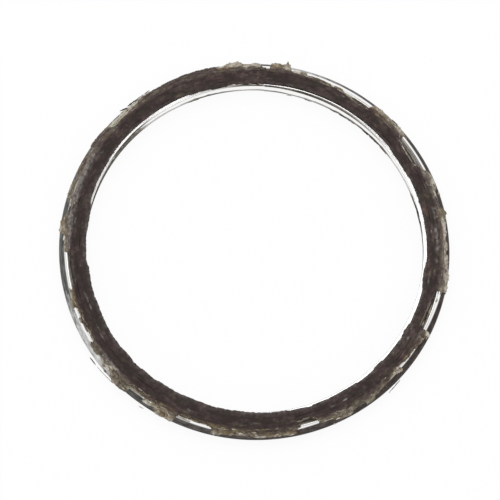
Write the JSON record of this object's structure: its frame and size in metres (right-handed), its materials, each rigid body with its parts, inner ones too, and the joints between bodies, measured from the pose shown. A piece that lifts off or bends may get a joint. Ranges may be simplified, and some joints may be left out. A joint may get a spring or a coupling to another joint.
{
  "type": "spiral-wound sealing ring",
  "caption": "Flat round exhaust sealing ring wound from a chevron-section steel strip and a soft filler strip, with torn filler edges hanging over its rim.",
  "frame": {"origin": "on the ring's axis at its lower face", "axes": "+Z along the ring's axis, +X towards the right of the picture, +Y away from the viewer"},
  "size_m": [0.078, 0.0779, 0.0045],
  "materials": {
    "steel_strip": "rolled strip, bright along its edges and dulled by heat around its middle",
    "filler_strip": "dark brown mineral filler in layers, torn and tan where it has frayed"
  },
  "bodies": {
    "root": {"steel_strip": "steel_strip", "filler_strip": "filler_strip"}
  },
  "joints": []
}
